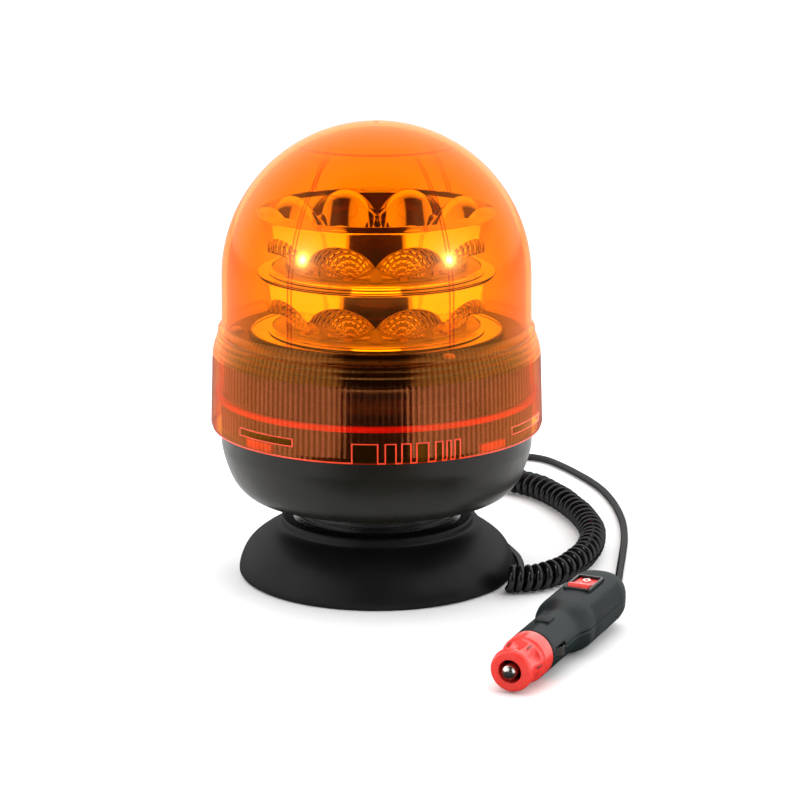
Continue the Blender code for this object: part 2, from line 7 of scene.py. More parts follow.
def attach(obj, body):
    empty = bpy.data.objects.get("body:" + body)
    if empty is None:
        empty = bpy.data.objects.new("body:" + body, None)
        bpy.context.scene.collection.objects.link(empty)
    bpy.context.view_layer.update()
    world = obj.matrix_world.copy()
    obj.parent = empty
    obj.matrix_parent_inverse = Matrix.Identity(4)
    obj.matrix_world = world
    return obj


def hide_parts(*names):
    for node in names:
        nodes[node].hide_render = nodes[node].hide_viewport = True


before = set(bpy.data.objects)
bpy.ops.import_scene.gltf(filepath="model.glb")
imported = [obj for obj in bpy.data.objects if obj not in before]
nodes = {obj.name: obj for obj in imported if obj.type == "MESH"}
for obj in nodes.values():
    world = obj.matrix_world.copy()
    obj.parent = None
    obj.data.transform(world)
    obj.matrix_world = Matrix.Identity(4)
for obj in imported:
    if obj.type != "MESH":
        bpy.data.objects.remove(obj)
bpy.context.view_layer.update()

MM = 0.001


def add(name, data):
    obj = bpy.data.objects.new(name, data)
    bpy.context.scene.collection.objects.link(obj)
    return obj


# ------------------------------------------------------------------ camera, as fitted to the photo

camera = add("camera", bpy.data.cameras.new("camera"))
camera.data.lens = 123.75
camera.data.sensor_width = 36
camera.data.clip_end = 50
camera.location = (0.0112, -1.28843, 0.40385)
camera.rotation_euler = (math.radians(76.1), 0, 0)
bpy.context.scene.camera = camera
bpy.context.scene.view_settings.view_transform = "Standard"


# ------------------------------------------------------------------ looks

class Look:
    """The nodes of a material or a world."""

    def __init__(self, name, kind="materials", place="Object"):
        self.made = getattr(bpy.data, kind).new(name)
        self.made.use_nodes = True
        self.tree = self.made.node_tree
        self.tree.nodes.clear()
        self.place = self.node("ShaderNodeTexCoord").outputs[place]

    def node(self, kind, sockets=None, **settings):
        made = self.tree.nodes.new(kind)
        for key, value in settings.items():
            setattr(made, key, value)
        for key, value in (sockets or {}).items():
            self.plug(made.inputs[key], value)
        return made

    def plug(self, socket, value):
        if isinstance(value, bpy.types.NodeSocket):
            self.tree.links.new(value, socket)
        else:
            socket.default_value = value

    def math(self, operation, a, b=0.0, c=0.0):
        return self.node("ShaderNodeMath", {0: a, 1: b, 2: c}, operation=operation).outputs[0]

    def span(self, value, low, high, new_low=0.0, new_high=1.0, curve="LINEAR"):
        ends = {0: value, 1: low, 2: high, 3: new_low, 4: new_high}
        return self.node("ShaderNodeMapRange", ends, interpolation_type=curve).outputs[0]

    def noise(self, scale, detail=3.0):
        return self.node("ShaderNodeTexNoise", {"Vector": self.place, "Scale": scale,
                                                "Detail": detail}).outputs[0]

    def mix(self, share, a, b):
        return self.node("ShaderNodeMix", {0: share, 6: (*a, 1) if isinstance(a, tuple) else a,
                                           7: (*b, 1) if isinstance(b, tuple) else b},
                         data_type="RGBA").outputs[2]

    def bump(self, height, strength, distance):
        return self.node("ShaderNodeBump", {"Height": height, "Strength": strength,
                                            "Distance": distance}).outputs[0]

    def facing(self):
        """0 where the surface is seen square on, 1 at its outline."""
        return self.node("ShaderNodeLayerWeight", {"Blend": 0.5}).outputs["Facing"]

    def glossy(self, rough, colour=None):
        sockets = {"Roughness": rough}
        if colour:
            sockets["Color"] = colour if isinstance(colour, bpy.types.NodeSocket) else (*colour, 1)
        return self.node("ShaderNodeBsdfGlossy", sockets)

    def blend(self, share, a, b):
        return self.node("ShaderNodeMixShader", {0: share, 1: a.outputs[0], 2: b.outputs[0]})

    def done(self, shader, out="ShaderNodeOutputMaterial"):
        self.node(out, {0: shader.outputs[0]})
        return self.made


def tinted(colour, factor):
    return tuple(min(1.0, v * factor) for v in colour)


def tinted_by(colour, other):
    return tuple(a * b for a, b in zip(colour, other))


def finish(name, colour, rough, metal=0.0, spread=0.15, clouds=45.0, grain=0.0, grain_scale=2500.0,
           polish=None, **sockets):
    """A solid material with soft clouds in its colour and gloss, and a fine grain. polish is the
    share of light a dull black throws back seen square on, and how much more at a slant."""
    look = Look(name)
    tone = look.mix(look.span(look.noise(clouds), 0.3, 0.7), tinted(colour, 1 - spread),
                    tinted(colour, 1 + spread))
    shader = look.node("ShaderNodeBsdfPrincipled", {
        "Base Color": tone, "Metallic": metal,
        "Roughness": look.span(look.noise(clouds * 3), 0.3, 0.7, rough * 0.88, rough * 1.12)})
    for key, value in sockets.items():
        shader.inputs[key.replace("_", " ")].default_value = value
    if grain:
        fine = look.noise(grain_scale, 2.0)
        look.plug(shader.inputs["Normal"], look.bump(fine, grain, 0.0001))
    if polish:
        shader.inputs["Specular IOR Level"].default_value = 0
        slant = look.math("POWER", look.facing(), 2.0)
        share = look.math("MULTIPLY_ADD", slant, polish[1], polish[0])
        shader = look.blend(share, shader, look.glossy(rough))
    return look.done(shader)


def by_azimuth(look):
    """Degrees about the beacon's axis from its front (-Y), and the height in millimetres."""
    split = look.node("ShaderNodeSeparateXYZ", {0: look.place})
    turn = look.math("ARCTAN2", split.outputs[0], look.math("MULTIPLY", split.outputs[1], -1))
    return look.math("DEGREES", turn), look.math("MULTIPLY", split.outputs[2], 1000)


# six pairs of fine mould lines run down the dome, from a ring near its top
PAIR_TURN, PAIR_EVERY, PAIR_HALF = 2, 60, 0.75
RING_Z, LINES_TOP = 209.6, 210


def mould_lines(look, tone, turn, height):
    step = look.math("PINGPONG", look.math("ADD", turn, 360 + PAIR_TURN), PAIR_EVERY / 2)
    off = look.math("ABSOLUTE", look.math("SUBTRACT", step, PAIR_EVERY / 2))
    pair = look.math("ABSOLUTE", look.math("SUBTRACT", off, PAIR_HALF))
    line = look.span(pair, 0.18, 0.45, 0.9, 0.0)
    low = look.span(height, LINES_TOP, LINES_TOP - 3, 0.0, 1.0)
    away = look.math("ABSOLUTE", look.math("SUBTRACT", height, RING_Z))
    ring = look.span(away, 0.2, 0.6, 0.85, 0.0)
    share = look.math("MAXIMUM", look.math("MULTIPLY", line, low), ring)
    return look.mix(share, tone, (0.72, 0.16, 0.02))


def clear_amber(name, tint, gloss, lines=False, glow=None, deep=(0.99, 0.72, 0.5),
                edge=(1.0, 0.50, 0.34), rim_share=0.7, haze=0.0):
    """Thin clear plastic: tinted see-through, deeper where the wall is seen at a slant, and a
    clean reflection that grows to the edges. glow is (colour, share): light that the flutes or
    a thick edge throw back. haze is the share of a dull reflection over all of it."""
    look = Look(name)
    turn, height = by_azimuth(look)
    cloud = look.span(look.noise(22, 2.0), 0.3, 0.7)
    tone = look.mix(cloud, tinted(tint, 0.97), tint)
    if lines:
        tone = mould_lines(look, tone, turn, height)
    facing = look.facing()
    tone = look.mix(look.span(facing, 0.3, 0.95), tone, tinted_by(tint, deep))
    body = look.node("ShaderNodeBsdfTransparent", {0: tone})
    if glow:
        colour, share = glow
        wave = look.math("SINE", look.math("MULTIPLY", turn, math.pi))
        shares = look.math("MULTIPLY", look.span(look.noise(60, 2.0), 0.3, 0.7, 0.85, 1.15),
                           look.span(wave, -0.6, 0.6, share * 0.55, share * 1.35))
        body = look.blend(shares, body, look.glossy(0.16, colour))
    sheen = look.mix(look.span(facing, 0.35, 0.9), (1.0, 0.42, 0.06), edge)
    rim = look.math("MULTIPLY_ADD", look.math("POWER", facing, 3.0), rim_share, 0.03)
    whole = look.blend(rim, body, look.glossy(gloss, sheen))
    if haze:
        whole = look.blend(haze, whole, look.glossy(0.32, (1.0, 0.9, 0.7)))
    return look.done(whole)


AMBER = clear_amber("amber_dome", (0.985, 0.61, 0.05), 0.14, lines=True, haze=0.005)
AMBER_IN = clear_amber("amber_dome_inside", (0.985, 0.70, 0.12), 0.06)
AMBER_SHOULDER = clear_amber("amber_shoulder", (0.98, 0.55, 0.10), 0.05,
                             glow=((1.0, 0.36, 0.10), 0.09))
AMBER_SKIRT = clear_amber("amber_skirt", (0.96, 0.48, 0.14), 0.05, glow=((1.0, 0.25, 0.11), 0.12),
                          deep=(0.62, 0.50, 0.8), edge=(0.25, 0.20, 0.22), rim_share=0.5)
AMBER_WINDOW = clear_amber("amber_window", (0.94, 0.80, 0.40), 0.1)
AMBER_RIM = finish("amber_moulded_rim", (0.85, 0.05, 0.008), 0.25, spread=0.25, clouds=90)
HOUSING = finish("housing_satin", (0.009, 0.0088, 0.0065), 0.34, spread=0.2, grain=0.12,
                 Specular_IOR_Level=0.24)
FLANGE = finish("flange_black", (0.006, 0.006, 0.006), 0.28, spread=0.2, grain=0.1,
                Specular_IOR_Level=0.35)
RUBBER = finish("boot_rubber_look", (0.005, 0.005, 0.0052), 0.4, spread=0.25, clouds=60,
                grain=0.12, grain_scale=1800, polish=(0.017, 0.03))
WALL = finish("housing_wall", (0.003, 0.003, 0.003), 0.15, spread=0.2, Specular_IOR_Level=0.06)
SEAL = finish("seal_red", (0.9, 0.02, 0.01), 0.45, spread=0.1, Specular_IOR_Level=0.1)
CORD = finish("cord_jacket", (0.004, 0.004, 0.0042), 0.18, spread=0.3, clouds=25, grain=0.04,
              polish=(0.035, 0.02))
SLATE = finish("plug_slate", (0.012, 0.017, 0.0175), 0.3, spread=0.12, grain=0.15,
               polish=(0.022, 0.05))
PLUG_DARK = finish("plug_recess", (0.006, 0.006, 0.007), 0.4, spread=0.2)
PLUG_RED = finish("plug_red_gloss", (0.72, 0.035, 0.025), 0.28, spread=0.08, clouds=70, grain=0.05)
WHITE_MARK = finish("mark_white", (0.85, 0.72, 0.68), 0.5, spread=0.05)
NICKEL = finish("nickel_worn", (0.62, 0.60, 0.57), 0.2, 1.0, spread=0.12, clouds=200)
STEEL = finish("zinc_steel", (0.55, 0.55, 0.57), 0.34, 1.0, spread=0.12, clouds=160, grain=0.1)
MIRROR = finish("metallised", (0.96, 0.90, 0.80), 0.08, 1.0, spread=0.04, clouds=120)
DISH = finish("dish_polished", (0.98, 0.94, 0.80), 0.08, 1.0, spread=0.04, clouds=30)
BOARD = finish("board_white_mask", (0.82, 0.83, 0.80), 0.45, spread=0.05, clouds=150)
GREEN = finish("board_green_mask", (0.015, 0.16, 0.06), 0.4, spread=0.2, clouds=150)
LED = finish("led_phosphor", (1.0, 0.72, 0.12), 0.25, spread=0.1, clouds=400)
ALUMINIUM = finish("aluminium_turned", (0.72, 0.73, 0.75), 0.3, 1.0, spread=0.06, clouds=80)
COPPER = finish("copper_wire", (0.72, 0.30, 0.12), 0.3, 1.0, spread=0.15, clouds=300)
FERRITE = finish("ferrite_sintered", (0.05, 0.05, 0.055), 0.6, spread=0.3, clouds=200, grain=0.5)
BLACK = finish("black_satin", (0.006, 0.006, 0.006), 0.3, spread=0.2, grain=0.1,
               Specular_IOR_Level=0.15)
WIRE_RED = finish("wire_red_look", (0.6, 0.03, 0.02), 0.4, spread=0.1)
GLASS_TUBE = finish("fuse_glass_look", (0.75, 0.8, 0.8), 0.15, spread=0.1, clouds=300)


# ------------------------------------------------------------------ shapes

def put(name, verts, faces, looks, body, parts=None, angle=35, at=Matrix.Identity(4),
        cad=None):
    """A mesh piece, in millimetres, that rides on a CAD body; cad is the node it replaces."""
    mesh = bpy.data.meshes.new(name)
    mesh.from_pydata([at @ (Vector(v) * MM) for v in verts], [], faces)
    looks = looks if isinstance(looks, list) else [looks]
    for look in looks:
        mesh.materials.append(look)
    if parts:
        mesh.polygons.foreach_set("material_index", parts)
    mesh.update()
    mesh.shade_smooth()
    mesh.set_sharp_from_angle(angle=math.radians(angle))
    obj = add(name, mesh)
    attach(obj, body)
    if cad:
        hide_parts(cad)
    return obj


def rounded(outline, radius, closed, steps=4):
    """An (r, z) outline with its corners rounded off."""
    out = []
    last = len(outline) - 1
    for i, p in enumerate(outline):
        if not closed and i in (0, last):
            out.append(p)
            continue
        a, b = outline[i - 1], outline[(i + 1) % len(outline)]
        here = Vector(p)
        one, two = Vector(a) - here, Vector(b) - here
        bend = math.pi - one.angle(two, math.pi)
        cut = min(radius * math.tan(bend / 2), one.length * 0.45, two.length * 0.45)
        if bend < 0.1 or cut < 0.01:
            out.append(p)
            continue
        start, end = here + one.normalized() * cut, here + two.normalized() * cut
        for k in range(steps + 1):
            t = k / steps
            q = start.lerp(here, t).lerp(here.lerp(end, t), t)
            out.append((q.x, q.y))
    return out


def ring_mesh(outline, columns, closed, shape=None):
    """Vertices and faces of a turned shape; shape(angle, r, z) may change r. r = 0 is a pole."""
    verts, rows = [], []
    for r, z in outline:
        if abs(r) < 1e-6:
            rows.append([len(verts)] * columns)
            verts.append((0, 0, z))
            continue
        rows.append(list(range(len(verts), len(verts) + columns)))
        for k in range(columns):
            a = math.tau * k / columns
            rr = shape(a, r, z) if shape else r
            verts.append((rr * math.cos(a), rr * math.sin(a), z))
    faces = []
    pairs = list(zip(rows, rows[1:])) + ([(rows[-1], rows[0])] if closed else [])
    for up, low in pairs:
        for k in range(columns):
            j = (k + 1) % columns
            faces.append([i for n, i in enumerate((up[k], low[k], low[j], up[j]))
                          if i not in (up[k], low[k], low[j], up[j])[:n]])
    return verts, faces


def turned(name, outline, look, body="base", closed=True, columns=144,
           fillet=0.4, at=Matrix.Identity(4), shape=None, angle=35, cad=None):
    outline = rounded(outline, fillet, closed) if fillet else outline
    verts, faces = ring_mesh(outline, columns, closed, shape)
    return put(name, verts, faces, look, body, angle=angle, at=at, cad=cad)


def smooth_route(points, step, before=None, after=None):
    """Points about step apart on the smooth curve through the given ones."""
    pts = [Vector(p) for p in points]
    pts = [Vector(before) if before else 2 * pts[0] - pts[1], *pts,
           Vector(after) if after else 2 * pts[-1] - pts[-2]]
    dense = []
    for a, b, c, d in zip(pts, pts[1:], pts[2:], pts[3:]):
        for k in range(24):
            t = k / 24
            dense.append(0.5 * (2 * b + (c - a) * t + (2 * a - 5 * b + 4 * c - d) * t * t
                                + (3 * b - a - 3 * c + d) * t ** 3))
    dense.append(pts[-2])
    along = [0.0]
    for a, b in zip(dense, dense[1:]):
        along.append(along[-1] + (b - a).length)
    count = max(2, round(along[-1] / step))
    out, i = [], 0
    for k in range(count + 1):
        want = along[-1] * k / count
        while i < len(along) - 2 and along[i + 1] < want:
            i += 1
        out.append(dense[i].lerp(dense[i + 1], (want - along[i]) / (along[i + 1] - along[i])))
    return out


# ------------------------------------------------------------------ cord

# all routes are in millimetres; the plug lies on its shell and its nose, tipped by PITCH
PITCH = math.atan(1.5 / 49.5)
PLUG_AT = (Matrix.Translation((0.1043, -0.0798, (44 * math.sin(PITCH) + 12 * math.cos(PITCH)
                                                 + 0.1) * MM))
           @ Matrix.Rotation(math.radians(-115), 4, "Z") @ Matrix.Rotation(PITCH, 4, "Y"))
CORD_WIDE = 3.7
FLOOR = 1.95    # the height of the cord's middle line where it lies on the floor
EXIT_ROUTE = [(0, 110.3, 52), (0, 119, 50.8), (-1, 129, 46), (-3, 137, 36), (-4, 142, 23),
              (-2, 146, 10), (4, 148, 3.2), (12, 148, FLOOR), (23, 144, FLOOR), (33, 134, FLOOR),
              (41, 119, FLOOR), (46, 101, FLOOR), (50, 82, FLOOR), (54.5, 63, FLOOR),
              (60, 45, FLOOR), (65.3, 27.5, FLOOR), (69.2, 12, FLOOR), (70.2, -3, FLOOR),
              (68.9, -17, FLOOR), (66.6, -28, FLOOR)]
CURL_ROUTE = [(62.9, -38.4), (70.6, -37.6), (78.9, -34), (87, -26.5), (94.5, -14.8), (101.4, 1),
              (106.3, 21), (108, 43), (105.6, 65.5), (100.6, 86.5), (94, 105), (85.6, 121.5),
              (75.5, 133.5), (64, 141), (54, 144)]
PLUG_ROUTE = [(56.4, 163, FLOOR), (59, 178, FLOOR), (65, 192, FLOOR), (74, 200.9, FLOOR),
              (84, 202.6, FLOOR), (93, 196.5, FLOOR), (101, 183.5, FLOOR), (108.4, 167.5, FLOOR),
              (115.3, 150, FLOOR), (120.8, 130, FLOOR), (124.6, 104, FLOOR), (126, 75, FLOOR),
              (124.8, 47, FLOOR), (122, 21, FLOOR), (118.6, -6, FLOOR), (115.8, -28, 2.2),
              (113.3, -44, 4.6)]
COIL_R, COIL_STEP, COIL_OPEN, PER_TURN = 4.9, 3.86, 6.8, 18


def coil():
    """The curly part: turns that lie side by side at its ends, and stand apart where its middle
    line runs along Y, because the cord is pulled out a little there."""
    middle = smooth_route([(x, y, FLOOR + COIL_R) for x, y in CURL_ROUTE], 0.5)
    turn = [0.0]
    for a, b in zip(middle, middle[1:]):
        run = b - a
        step = COIL_STEP + (COIL_OPEN - COIL_STEP) * (run.y / run.length) ** 2
        turn.append(turn[-1] + run.length / step)
    count = round(turn[-1]) * PER_TURN
    out, up, i = [], Vector((0, 0, 1)), 0
    for k in range(count + 1):
        want = turn[-1] * k / count
        while i < len(middle) - 2 and turn[i + 1] < want:
            i += 1
        here = middle[i].lerp(middle[i + 1], (want - turn[i]) / (turn[i + 1] - turn[i]))
        ahead = (middle[min(i + 6, len(middle) - 1)] - middle[max(i - 5, 0)]).normalized()
        a = math.tau * k / PER_TURN
        loose = 1 + 0.02 * math.sin(k * 0.37) + 0.015 * math.sin(k * 0.083)
        lift = up * (loose - 1) * COIL_R
        out.append(here + lift + COIL_R * loose * (ahead.cross(up) * math.sin(a)
                                                   - up * math.cos(a)))
    return out


def cord():
    turns = coil()
    lead = smooth_route(EXIT_ROUTE + [turns[0]], 2.5, after=turns[3])
    inside = [PLUG_AT @ Vector((x * MM, 0, 0)) / MM for x in (-16, -7, 8, 25, 42)]
    tail = smooth_route([turns[-1], *PLUG_ROUTE, *inside], 2.5, before=turns[-4])
    route = lead[:-1] + turns + tail[1:]
    for p in route:
        p.z = max(p.z, FLOOR)
    curve = bpy.data.curves.new("cord", "CURVE")
    curve.dimensions = "3D"
    curve.bevel_depth = CORD_WIDE / 2 * MM
    curve.bevel_resolution = 4
    curve.use_fill_caps = True
    curve.materials.append(CORD)
    spline = curve.splines.new("POLY")
    spline.points.add(len(route) - 1)
    for slot, p in zip(spline.points, route):
        slot.co = (*(p * MM), 1)
    spline.use_smooth = True
    obj = add("cord", curve)
    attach(obj, "base")
    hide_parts("exit_lead", "curly_cord", "plug_lead")
    length = sum((b - a).length for a, b in zip(route, route[1:])) * MM
    return obj, length


# ------------------------------------------------------------------ magnet foot and housing

GLAND_Z = 52
GLAND_AT = Matrix.Translation((0, 0, GLAND_Z * MM)) @ Matrix.Rotation(-math.pi / 2, 4, "X")


def along(name, outline, look, slot, columns=96, fillet=0.4, shape=None, closed=True, cad=None):
    """A turned piece on the gland's axis; its outline's z counts out from the housing's axis."""
    return turned(name, outline, look, "base", closed, columns, fillet, GLAND_AT, shape,
                  cad=cad)


def hexagon(a, r, flat):
    """r, cut back to the flats of a hexagon that are flat away from its middle."""
    return min(r, flat / math.cos((a % (math.pi / 3)) - math.pi / 6))


def foot():
    turned("pad", [(0, 2.3), (59.9, 2.3), (59.9, 0), (57.5, 0), (56.9, 0.5), (49, 0.5),
                   (48.4, 0), (0, 0)], RUBBER, closed=False, fillet=0.3,
           cad="foot_pad")
    flare = smooth_route([(r, 0, z) for r, z in [
        (46.6, 25.2), (47.0, 24.4), (48.6, 23.3), (52.2, 21.7), (55.3, 19.9), (58.1, 18.0),
        (60.6, 16.0), (62.8, 13.7), (64.4, 11.3), (65.6, 8.8), (66.6, 6.0), (67.2, 3.2),
        (67.25, 1.6)]], 0.7)
    turned("boot", [(44.8, 28.8), (46.0, 28.6), (46.6, 27.6)] + [(p.x, p.z) for p in flare]
           + [(66.7, 0.5), (66.0, 0), (60.3, 0), (60.3, 2.6), (56.6, 2.6), (56.6, 14.0),
              (41.4, 14.0), (41.4, 28.8)], RUBBER, columns=180,
           fillet=0.25, angle=45, cad="magnet_boot")
    turned("flange", [(38.2, 36), (38.8, 35.4), (38.8, 32.2), (38.5, 31.9), (38.5, 31.3),
                      (38.8, 31.0), (38.8, 29.4), (41.0, 28.2), (41.0, 14.3), (4.4, 14.3),
                      (4.4, 36)], FLANGE, fillet=0.25, cad="mount_flange")
    turned("gasket", [(37.6, 39.4), (37.6, 36.3), (4.6, 36.3), (4.6, 39.4)], RUBBER,
           fillet=0.8, cad="housing_gasket")


def arc_block(verts, faces, r_in, r_out, z_low, z_high, middle, width, count=10):
    """A block bent about the axis, centred on an angle in degrees."""
    start = len(verts)
    for k in range(count + 1):
        a = math.radians(middle + width * (k / count - 0.5))
        for r, z in ((r_in, z_low), (r_out, z_low), (r_out, z_high), (r_in, z_high)):
            verts.append((r * math.cos(a), r * math.sin(a), z))
    for k in range(count):
        for i in range(4):
            j = (i + 1) % 4
            b = start + 4 * k
            faces.append([b + i, b + j, b + 4 + j, b + 4 + i])
    faces.append([start + i for i in (3, 2, 1, 0)])
    faces.append([start + 4 * count + i for i in range(4)])


def housing():
    bowl = smooth_route([(r, 0, z) for r, z in [
        (75, 67), (74.9, 64.8), (74.4, 62.2), (73.5, 58.6), (72.3, 54.9), (71.0, 51.6),
        (69.4, 48.4), (67.4, 45.6), (65, 43.2), (62.4, 41.5), (58, 40.3), (52, 39.8),
        (46, 39.7)]], 1.2)
    outline = ([(73.6, 112), (73.6, 103.4), (72.9, 102.8), (72.9, 99.6), (73.6, 99.0), (73.6, 88),
                (75, 88)] + [(p.x, p.z) for p in bowl]
               + [(4.4, 39.7), (4.4, 42.7), (50, 42.7), (58, 43.2), (63.5, 45.9), (67.3, 50.2),
                  (70, 56), (71.4, 62), (72.2, 70), (70.8, 86), (70.8, 108.4), (63.4, 108.4),
                  (63.4, 112)])
    shell = turned("housing", outline, HOUSING, columns=216, fillet=0.35,
                   cad="base_housing")
    shell.data.materials.append(WALL)    # the part behind the clear skirt
    for face in shell.data.polygons:
        face.material_index = int(face.center.z > 86 * MM)
    verts, faces = [], []
    for k in range(4):
        arc_block(verts, faces, 74.2, 76.3, 79.2, 83.6, 45 + 90 * k, 12)
    put("housing_lugs", verts, faces, HOUSING, "base")
    along("gland_boss", [(9.6, 75), (9.6, 58), (5.1, 58), (5.1, 75)], HOUSING, "housing_black",
          fillet=0.5)
    turned("deck", [(71.9, 119), (72.3, 118.4), (72.3, 112.3), (62, 112.3), (60, 116.3),
                    (6, 116.3), (6, 119)], BLACK, fillet=0.25, cad="deck_plate")
    turned("seal", [(76.9, 91), (76.9, 88.3), (74, 88.3), (74, 91)], SEAL,
           fillet=0.7, columns=180, cad="lens_seal")
    along("gland_body_fine", [(8.3, 78.6), (8.3, 75.3), (4.8, 75.3), (4.8, 53.8),
                              (2.2, 53.8), (2.2, 78.6)], BLACK, "black_plastic",
          shape=lambda a, r, z: hexagon(a, r, 7.55), cad="gland_body")
    nut = along("gland_nut_fine", [(5.2, 87.0), (6.2, 86.6), (7.4, 84.6), (7.8, 82.0),
                                   (7.8, 78.9), (2.2, 78.9), (2.2, 87.0)], BLACK, "black_plastic",
                shape=lambda a, r, z: r - (0.25 * (0.5 + 0.5 * math.cos(24 * a))
                                           if r > 6 and z < 84 else 0), cad="gland_nut")
    ribs = [(0, 110), (1.95, 110), (2.3, 109.7)]
    for k in range(9):
        y = 108.4 - 2.3 * k
        r = 2.5 + (109 - y) * 0.083
        ribs += [(r, y), (r, y - 1.2), (r - 0.7, y - 1.5), (r - 0.7, y - 2.0)]
    sleeve = along("sleeve", ribs + [(4.3, 87.6), (4.1, 87.3), (0, 87.3)], RUBBER,
                   "boot_rubber", 64, 0.15, closed=False, cad="cord_sleeve")
    return nut, sleeve


# ------------------------------------------------------------------ light unit

NICHES = 10
HALF = math.radians(180 / NICHES)
SLOPE = 5.0 / 26.9             # how far the fascia leans out as it rises
FASCIA_R, FASCIA_UP = 52, 2    # its radius, and where above the tier's foot it starts
MIDDLE_R, SILL = 52.5, 2.2     # the middle of a niche's quarter ball
DEEP, WIDE, TALL = 14.2, 19, 18.6


def niche_point(alpha, beta, floor, grow=0.0, rise=0.0):
    """A point of a quarter-ball niche whose middle faces +X: alpha opens from its deepest point,
    beta turns over its arch from one side of the floor to the other."""
    c, s = math.cos(alpha), math.sin(alpha)
    return Vector((MIDDLE_R - (DEEP + grow) * c, (WIDE + grow) * s * math.cos(beta),
                   floor + (TALL + grow + rise) * s * math.sin(beta)))


def niche_edge(beta, tier, grow=0.0, rise=0.0):
    """Where the niche meets its neighbour or the fascia, and whether it is the fascia."""
    low, high = 0.0, math.pi / 2 + 0.35
    for _ in range(30):
        mid = (low + high) / 2
        p = niche_point(mid, beta, tier + SILL, grow, rise)
        out = math.hypot(p.x, p.y) > FASCIA_R + (p.z - tier - FASCIA_UP) * SLOPE
        if out or abs(math.atan2(p.y, p.x)) > HALF:
            high = mid
        else:
            low = mid
    p = niche_point(low, beta, tier + SILL, grow, rise)
    return low, math.hypot(p.x, p.y) > FASCIA_R - 0.1 + (p.z - tier - FASCIA_UP) * SLOPE


def pillow(t, beta):
    """How far the niche's wall stands in: a grid of pillows, then ribs along the arch."""
    if t > 0.7:
        return 0.6 * abs(math.sin(math.pi * (t - 0.7) / 0.1)) ** 0.7
    fade = min(1.0, t / 0.2)
    return 0.55 * fade * (abs(math.sin(math.pi * t / 0.1)) * abs(math.sin(11 * beta))) ** 0.5


def niche_wall(verts, faces, spin, tier, rows, cols, grow=0.0, rise=0.0, relief=False):
    """Adds a niche's wall and gives its edge: (alpha, beta, whether it is the fascia)."""
    first = len(verts)
    centre = Vector((MIDDLE_R, 0, tier + SILL))
    edges = []
    for j in range(cols + 1):
        beta = math.pi * j / cols
        edge, fascia = niche_edge(beta, tier, grow, rise)
        edges.append((edge, beta, fascia))
        for i in range(rows + 1):
            t = i / rows
            p = niche_point(edge * t, beta, tier + SILL, grow, rise)
            if relief:
                p += (centre - p).normalized() * pillow(t, beta)
            verts.append(spin @ p)
    for j in range(cols):
        for i in range(rows):
            a = first + j * (rows + 1) + i
            faces.append([a, a + 1, a + rows + 2, a + rows + 1])
    return edges


def reflector(name, tier, height, open_top, cad):
    verts, faces = [], []
    top = tier + height
    top_r = FASCIA_R + (height - FASCIA_UP) * SLOPE
    ceiling = top - 3 if open_top else top
    for k in range(NICHES):
        spin = Matrix.Rotation(math.radians(360 / NICHES * k), 3, "Z")
        edges = niche_wall(verts, faces, spin, tier, 80, 96, relief=True)
        if open_top:
            niche_wall(verts, faces, spin, tier, 20, 40, 0.9, 8.2)
        strip = [e for e in edges if e[2]]
        for depth in ((0.0, 1.2) if open_top else (0.0,)):
            first = len(verts)
            for edge, beta, _ in strip:
                p = niche_point(edge, beta, tier + SILL)
                turn = math.atan2(p.y, p.x)
                turn = math.copysign(HALF, turn) if abs(turn) > HALF - 0.012 else turn
                for i in range(5):
                    z = p.z + (ceiling - p.z) * i / 4
                    r = FASCIA_R + (z - tier - FASCIA_UP) * SLOPE - depth
                    verts.append(spin @ Vector((r * math.cos(turn), r * math.sin(turn), z)))
            for j in range(len(strip) - 1):
                for i in range(4):
                    a = first + j * 5 + i
                    faces.append([a, a + 1, a + 6, a + 5])
    put(name, verts, faces, MIRROR, "base", angle=30, cad=cad)
    if open_top:
        lip = [(top_r - 2.0, top - 0.5), (top_r - 2.0, top), (top_r - 1.7, top),
               (top_r - 0.2, top - 2.6), (top_r - 0.2, top - 3.4), (top_r - 1.2, top - 3.4)]
    else:
        lip = [(28, top - 0.3), (28, top), (top_r, top), (top_r, top - 0.5), (50, top - 0.5)]
    turned(name + "_lip", lip, MIRROR, "base", fillet=0.1)
    turned(name + "_foot", [(52, tier + 2), (52, tier), (50, tier), (50, tier + 2)], MIRROR,
           "base", fillet=0.2)


def leds(name, z, cad):
    verts, faces = ring_mesh([(43.4, z + 0.4), (43.4, z), (38.6, z), (38.6, z + 0.4)], 120, True)
    looks = [0] * len(faces)
    for k in range(NICHES):
        count = len(faces)
        arc_block(verts, faces, 39.25, 42.75, z + 0.4, z + 1.5, 360 / NICHES * k, 4.9, 6)
        looks += [1] * (len(faces) - count)
    put(name, verts, faces, [BOARD, LED], "base", parts=looks, cad=cad)


